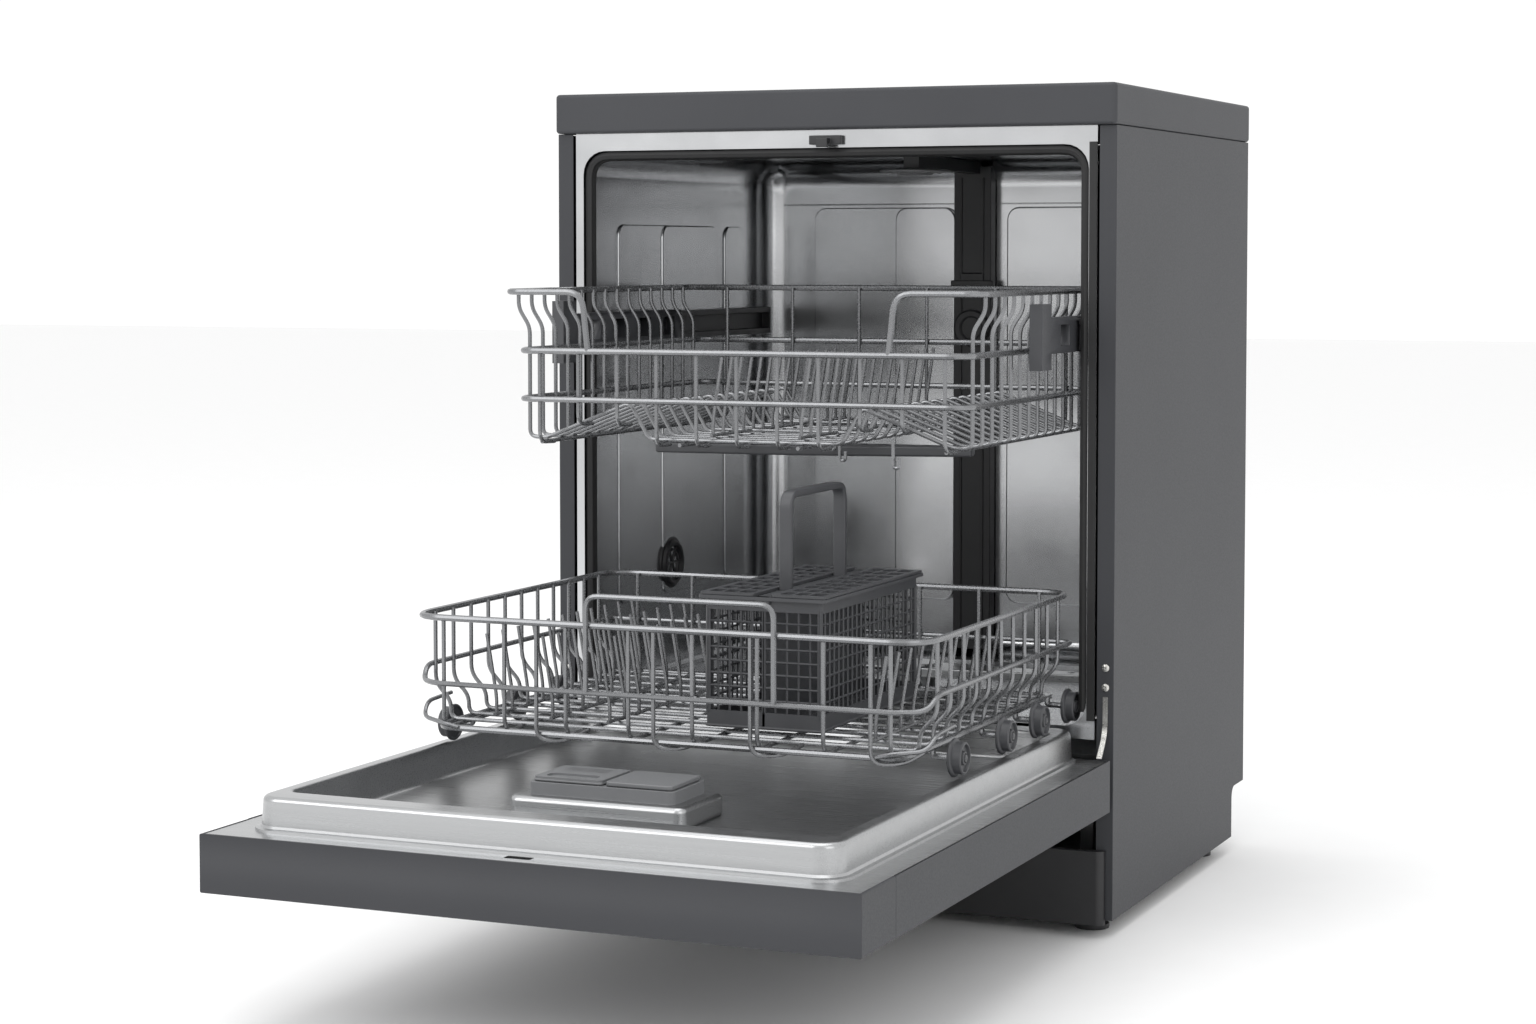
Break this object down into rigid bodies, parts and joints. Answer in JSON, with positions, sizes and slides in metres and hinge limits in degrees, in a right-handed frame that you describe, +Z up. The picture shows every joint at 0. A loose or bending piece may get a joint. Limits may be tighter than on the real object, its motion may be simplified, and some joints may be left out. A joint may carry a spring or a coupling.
{
  "type": "free-standing dishwasher",
  "caption": "Free-standing dishwasher with its door open, stainless tub, two sliding wire baskets, cutlery basket, spray arms and filter.",
  "frame": {"origin": "centre of the whole object's box, at floor level, with the door open and both baskets as pulled out at rest", "axes": "+Z up, +Y from the open door towards the rear panel, +X to the right when facing the open machine"},
  "size_m": [0.598, 1.162, 0.822],
  "materials": {
    "worktop": "satin graphite laminate on board",
    "painted_sheet": "satin graphite powder coat",
    "galvanised_sheet": "dull zinc",
    "black_plastic": "matt",
    "polished_steel": "bright, near mirror",
    "brushed_steel": "fine brushed",
    "pump_housing": "cast, dull",
    "seal_rubber": "matt",
    "grey_plastic": "satin",
    "dark_plastic": "satin",
    "display_glass": "glossy",
    "coated_wire": "satin light-grey nylon coat on steel"
  },
  "bodies": {
    "cabinet": {"top_panel": "worktop", "side_panel_left": "painted_sheet", "side_panel_right": "painted_sheet", "rear_panel": "galvanised_sheet", "hinge_bracket_left": "galvanised_sheet", "hinge_bracket_right": "galvanised_sheet", "base_tray": "black_plastic", "plinth": "black_plastic", "latch_keeper": "black_plastic", "water_duct": "black_plastic", "vent_cap": "black_plastic", "upper_rail_left": "black_plastic", "upper_rail_right": "black_plastic", "sump": "black_plastic", "tub": "polished_steel", "filter_plate": "brushed_steel", "circulation_pump": "pump_housing", "door_seal": "seal_rubber", "ceiling_sprinkler": "grey_plastic", "water_softener": "grey_plastic"},
    "door": {"door_outer_panel": "painted_sheet", "door_liner": "brushed_steel", "control_fascia": "painted_sheet", "display_window": "display_glass", "door_latch": "black_plastic", "dispenser_housing": "grey_plastic"},
    "lower_basket": {"lower_basket_cradle": "coated_wire", "lower_basket_front": "coated_wire", "lower_basket_rear": "coated_wire", "lower_basket_tines": "coated_wire"},
    "upper_basket": {"upper_basket_cradle": "coated_wire", "upper_basket_front": "coated_wire", "upper_basket_rear": "coated_wire", "upper_basket_tines": "coated_wire", "height_adjuster_left": "dark_plastic", "height_adjuster_right": "dark_plastic", "upper_feed": "black_plastic"},
    "foot_front_left": {"foot_front_left": "black_plastic"},
    "foot_front_right": {"foot_front_right": "black_plastic"},
    "foot_rear_left": {"foot_rear_left": "black_plastic"},
    "foot_rear_right": {"foot_rear_right": "black_plastic"},
    "filter_cylinder": {"filter_cylinder": "grey_plastic"},
    "salt_cap": {"salt_cap": "grey_plastic"},
    "lower_spray_arm": {"lower_spray_arm": "brushed_steel"},
    "power_button": {"power_button": "dark_plastic"},
    "start_button": {"start_button": "dark_plastic"},
    "detergent_lid": {"detergent_lid": "grey_plastic"},
    "rinse_aid_lid": {"rinse_aid_lid": "grey_plastic"},
    "cutlery_basket": {"cutlery_basket": "dark_plastic"},
    "cutlery_lid_left": {"cutlery_lid_left": "grey_plastic"},
    "cutlery_lid_right": {"cutlery_lid_right": "grey_plastic"},
    "upper_spray_arm": {"upper_spray_arm": "dark_plastic"},
    "wheel_left_1": {"wheel_left_1": "dark_plastic"},
    "wheel_left_2": {"wheel_left_2": "dark_plastic"},
    "wheel_left_3": {"wheel_left_3": "dark_plastic"},
    "wheel_left_4": {"wheel_left_4": "dark_plastic"},
    "wheel_right_1": {"wheel_right_1": "dark_plastic"},
    "wheel_right_2": {"wheel_right_2": "dark_plastic"},
    "wheel_right_3": {"wheel_right_3": "dark_plastic"},
    "wheel_right_4": {"wheel_right_4": "dark_plastic"}
  },
  "joints": [
    {"name": "door_hinge", "type": "hinge", "parent": "cabinet", "child": "door", "pos_m": [0, 0.046, 0.144], "axis": [-1, 0, 0], "range_deg": [0, 0.15]},
    {"name": "lower_basket_slide", "type": "slide", "parent": "cabinet", "child": "lower_basket", "axis": [0, 1, 0], "range_m": [-0.15, 0.42]},
    {"name": "upper_basket_slide", "type": "slide", "parent": "cabinet", "child": "upper_basket", "axis": [0, 1, 0], "range_m": [-0.115, 0.254]},
    {"name": "lower_spray_arm_spin", "type": "hinge", "parent": "cabinet", "child": "lower_spray_arm", "pos_m": [0, 0.33, 0.212], "axis": [0, 0, 1], "continuous": true},
    {"name": "upper_spray_arm_spin", "type": "hinge", "parent": "upper_basket", "child": "upper_spray_arm", "pos_m": [-0.006, 0.058, 0.466], "axis": [0, 0, 1], "continuous": true},
    {"name": "filter_turn", "type": "hinge", "parent": "cabinet", "child": "filter_cylinder", "pos_m": [0.062, 0.226, 0.16], "axis": [0, 0, 1], "range_deg": [0, 90]},
    {"name": "salt_cap_turn", "type": "hinge", "parent": "cabinet", "child": "salt_cap", "pos_m": [-0.138, 0.226, 0.186], "axis": [0, 0, 1], "range_deg": [0, 360]},
    {"name": "power_button_press", "type": "slide", "parent": "door", "child": "power_button", "axis": [0, 0, 1], "range_m": [0, 0.0012], "stiffness_N_per_m": 400, "springref_m": -0.001},
    {"name": "start_button_press", "type": "slide", "parent": "door", "child": "start_button", "axis": [0, 0, 1], "range_m": [0, 0.0012], "stiffness_N_per_m": 400, "springref_m": -0.001},
    {"name": "detergent_lid_slide", "type": "slide", "parent": "door", "child": "detergent_lid", "axis": [0, 1, 0], "range_m": [0, 0.055]},
    {"name": "rinse_aid_lid_hinge", "type": "hinge", "parent": "door", "child": "rinse_aid_lid", "pos_m": [0.027, -0.351, 0.2074], "axis": [-1, 0, 0], "range_deg": [0, 90]},
    {"name": "cutlery_basket_shift", "type": "slide", "parent": "lower_basket", "child": "cutlery_basket", "axis": [0, 1, 0], "range_m": [0, 0.04]},
    {"name": "cutlery_lid_left_hinge", "type": "hinge", "parent": "cutlery_basket", "child": "cutlery_lid_left", "pos_m": [0.021, -0.15, 0.3582], "axis": [0, -1, 0], "range_deg": [0, 90]},
    {"name": "cutlery_lid_right_hinge", "type": "hinge", "parent": "cutlery_basket", "child": "cutlery_lid_right", "pos_m": [0.141, -0.15, 0.3582], "axis": [0, 1, 0], "range_deg": [0, 90]},
    {"name": "foot_front_left_screw", "type": "hinge", "parent": "cabinet", "child": "foot_front_left", "pos_m": [-0.265, 0.118, 0.01], "axis": [0, 0, 1], "continuous": true},
    {"name": "foot_front_right_screw", "type": "hinge", "parent": "cabinet", "child": "foot_front_right", "pos_m": [0.265, 0.118, 0.01], "axis": [0, 0, 1], "continuous": true},
    {"name": "foot_rear_left_screw", "type": "hinge", "parent": "cabinet", "child": "foot_rear_left", "pos_m": [-0.265, 0.501, 0.01], "axis": [0, 0, 1], "continuous": true},
    {"name": "foot_rear_right_screw", "type": "hinge", "parent": "cabinet", "child": "foot_rear_right", "pos_m": [0.265, 0.501, 0.01], "axis": [0, 0, 1], "continuous": true},
    {"name": "wheel_left_1_roll", "type": "hinge", "parent": "lower_basket", "child": "wheel_left_1", "pos_m": [-0.2525, -0.236, 0.2215], "axis": [1, 0, 0], "continuous": true},
    {"name": "wheel_left_2_roll", "type": "hinge", "parent": "lower_basket", "child": "wheel_left_2", "pos_m": [-0.2525, -0.1072, 0.2215], "axis": [1, 0, 0], "continuous": true},
    {"name": "wheel_left_3_roll", "type": "hinge", "parent": "lower_basket", "child": "wheel_left_3", "pos_m": [-0.2525, -0.0106, 0.2215], "axis": [1, 0, 0], "continuous": true},
    {"name": "wheel_left_4_roll", "type": "hinge", "parent": "lower_basket", "child": "wheel_left_4", "pos_m": [-0.2525, 0.086, 0.2215], "axis": [1, 0, 0], "continuous": true},
    {"name": "wheel_right_1_roll", "type": "hinge", "parent": "lower_basket", "child": "wheel_right_1", "pos_m": [0.2525, -0.236, 0.2215], "axis": [1, 0, 0], "continuous": true},
    {"name": "wheel_right_2_roll", "type": "hinge", "parent": "lower_basket", "child": "wheel_right_2", "pos_m": [0.2525, -0.1072, 0.2215], "axis": [1, 0, 0], "continuous": true},
    {"name": "wheel_right_3_roll", "type": "hinge", "parent": "lower_basket", "child": "wheel_right_3", "pos_m": [0.2525, -0.0106, 0.2215], "axis": [1, 0, 0], "continuous": true},
    {"name": "wheel_right_4_roll", "type": "hinge", "parent": "lower_basket", "child": "wheel_right_4", "pos_m": [0.2525, 0.086, 0.2215], "axis": [1, 0, 0], "continuous": true}
  ],
  "couplings": [
    {"joint": "wheel_left_1_roll", "follows": "lower_basket_slide", "rad_per_m": -58.824},
    {"joint": "wheel_left_2_roll", "follows": "lower_basket_slide", "rad_per_m": -58.824},
    {"joint": "wheel_left_3_roll", "follows": "lower_basket_slide", "rad_per_m": -58.824},
    {"joint": "wheel_left_4_roll", "follows": "lower_basket_slide", "rad_per_m": -58.824},
    {"joint": "wheel_right_1_roll", "follows": "lower_basket_slide", "rad_per_m": -58.824},
    {"joint": "wheel_right_2_roll", "follows": "lower_basket_slide", "rad_per_m": -58.824},
    {"joint": "wheel_right_3_roll", "follows": "lower_basket_slide", "rad_per_m": -58.824},
    {"joint": "wheel_right_4_roll", "follows": "lower_basket_slide", "rad_per_m": -58.824}
  ]
}
